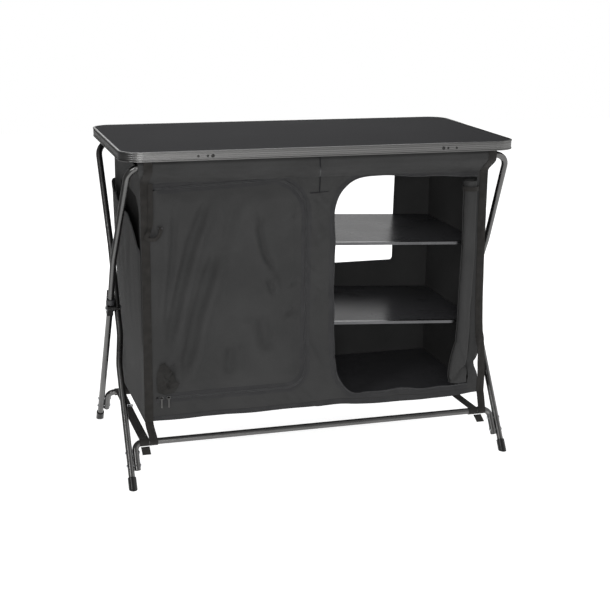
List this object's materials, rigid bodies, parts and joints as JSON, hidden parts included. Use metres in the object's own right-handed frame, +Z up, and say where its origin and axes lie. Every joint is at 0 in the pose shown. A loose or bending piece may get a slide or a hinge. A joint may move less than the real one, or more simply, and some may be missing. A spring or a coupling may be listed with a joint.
{
  "type": "camping cupboard",
  "caption": "Folding camping cupboard: a tabletop on scissor legs with a hanging fabric cabinet, zipped doors, shelves, rear windows and side pockets.",
  "frame": {"origin": "on the floor, midway between the four feet", "axes": "X along the front to the right as seen from the front, Y to the rear, Z up"},
  "size_m": [1.0248, 0.5412, 0.82],
  "materials": {
    "board_laminate": "matte",
    "edging_aluminium": "satin",
    "frame_paint": "satin",
    "bright_steel": "brushed",
    "black_plastic": "matte",
    "cap_rubber": "matte",
    "cupboard_cloth": "woven",
    "door_cloth": "woven",
    "webbing": "ribbed weave",
    "zip_tape": "woven",
    "shelf_laminate": "semi-gloss",
    "binding_edge": "satin"
  },
  "bodies": {
    "cupboard": {"table_board": "board_laminate", "table_edging": "edging_aluminium", "edging_rivets": "bright_steel", "edging_screws": "bright_steel", "fitting_screws": "bright_steel", "front_hook_left": "frame_paint", "front_hook_right": "frame_paint", "front_bearing_blocks": "black_plastic", "rear_bearing_blocks": "black_plastic", "rear_saddle_left": "frame_paint", "rear_saddle_right": "frame_paint", "front_panel": "cupboard_cloth", "rear_panel": "cupboard_cloth", "side_panel_left": "cupboard_cloth", "side_panel_right": "cupboard_cloth", "side_pocket_left": "cupboard_cloth", "side_pocket_right": "cupboard_cloth", "fabric_floor": "cupboard_cloth", "divider_panel": "cupboard_cloth", "floor_board_left": "shelf_laminate", "floor_board_right": "shelf_laminate", "upper_shelf_board_left": "shelf_laminate", "upper_shelf_board_right": "shelf_laminate", "lower_shelf_board_left": "shelf_laminate", "lower_shelf_board_right": "shelf_laminate", "shelf_bindings": "binding_edge", "shelf_tapes": "webbing", "front_corner_webbing": "webbing", "rear_corner_webbing": "webbing", "front_strap_loops": "webbing", "rear_strap_loops": "webbing", "spreader_strap_left": "webbing", "spreader_strap_right": "webbing", "spreader_buckles": "bright_steel", "front_bar_sleeve": "cupboard_cloth", "rear_bar_sleeve": "cupboard_cloth", "left_zip_fixed_half": "zip_tape", "right_zip_fixed_half": "zip_tape", "right_door_roll": "door_cloth", "right_door_tie": "webbing", "left_door_tie": "webbing"},
    "rear_bar_frame": {"rear_bar_frame_tube": "frame_paint", "front_crossbar": "frame_paint", "front_crossbar_rivets": "bright_steel", "front_foot_caps": "cap_rubber"},
    "front_bar_frame": {"front_bar_frame_tube": "frame_paint", "rear_crossbar": "frame_paint", "rear_crossbar_rivets": "bright_steel", "rear_foot_caps": "cap_rubber", "pivot_pins": "bright_steel", "pivot_washers": "black_plastic", "pivot_bracket_left": "bright_steel", "pivot_bracket_right": "bright_steel", "pivot_collars": "black_plastic"},
    "left_door": {"left_door_panel": "door_cloth", "left_zip_door_half": "zip_tape"},
    "slider_left": {"zip_slider_left": "bright_steel"},
    "slider_right": {"zip_slider_right": "bright_steel"},
    "pull_left": {"zip_pull_left": "bright_steel"},
    "pull_right": {"zip_pull_right": "bright_steel"}
  },
  "joints": [
    {"name": "frame_fold", "type": "hinge", "parent": "cupboard", "child": "rear_bar_frame", "pos_m": [0, 0.214, 0.785], "axis": [1, 0, 0], "range_deg": [0, 23], "deforming": ["front_bar_sleeve", "rear_bar_sleeve", "front_strap_loops", "rear_strap_loops"]},
    {"name": "scissor", "type": "hinge", "parent": "rear_bar_frame", "child": "front_bar_frame", "pos_m": [0, 0, 0.39015], "axis": [1, 0, 0], "range_deg": [-46, 0], "deforming": ["spreader_strap_left", "spreader_strap_right", "spreader_buckles"]},
    {"name": "left_door_hinge", "type": "hinge", "parent": "cupboard", "child": "left_door", "pos_m": [-0.418, -0.1775, 0.46], "axis": [0, 0, -1], "range_deg": [0, 100], "deforming": ["left_door_tie"]},
    {"name": "left_slider_travel", "type": "slide", "parent": "left_door", "child": "slider_left", "axis": [1, 0, 0], "range_m": [0, 0.28]},
    {"name": "right_slider_travel", "type": "slide", "parent": "left_door", "child": "slider_right", "axis": [1, 0, 0], "range_m": [0, 0.28]},
    {"name": "left_pull_swing", "type": "hinge", "parent": "slider_left", "child": "pull_left", "pos_m": [-0.405, -0.182, 0.2], "axis": [-1, 0, 0], "range_deg": [0, 150]},
    {"name": "right_pull_swing", "type": "hinge", "parent": "slider_right", "child": "pull_right", "pos_m": [-0.387, -0.182, 0.2], "axis": [-1, 0, 0], "range_deg": [0, 150]}
  ],
  "couplings": [
    {"joint": "scissor", "follows": "frame_fold", "ratio": -2},
    {"joint": "right_slider_travel", "follows": "left_slider_travel", "ratio": 1}
  ]
}
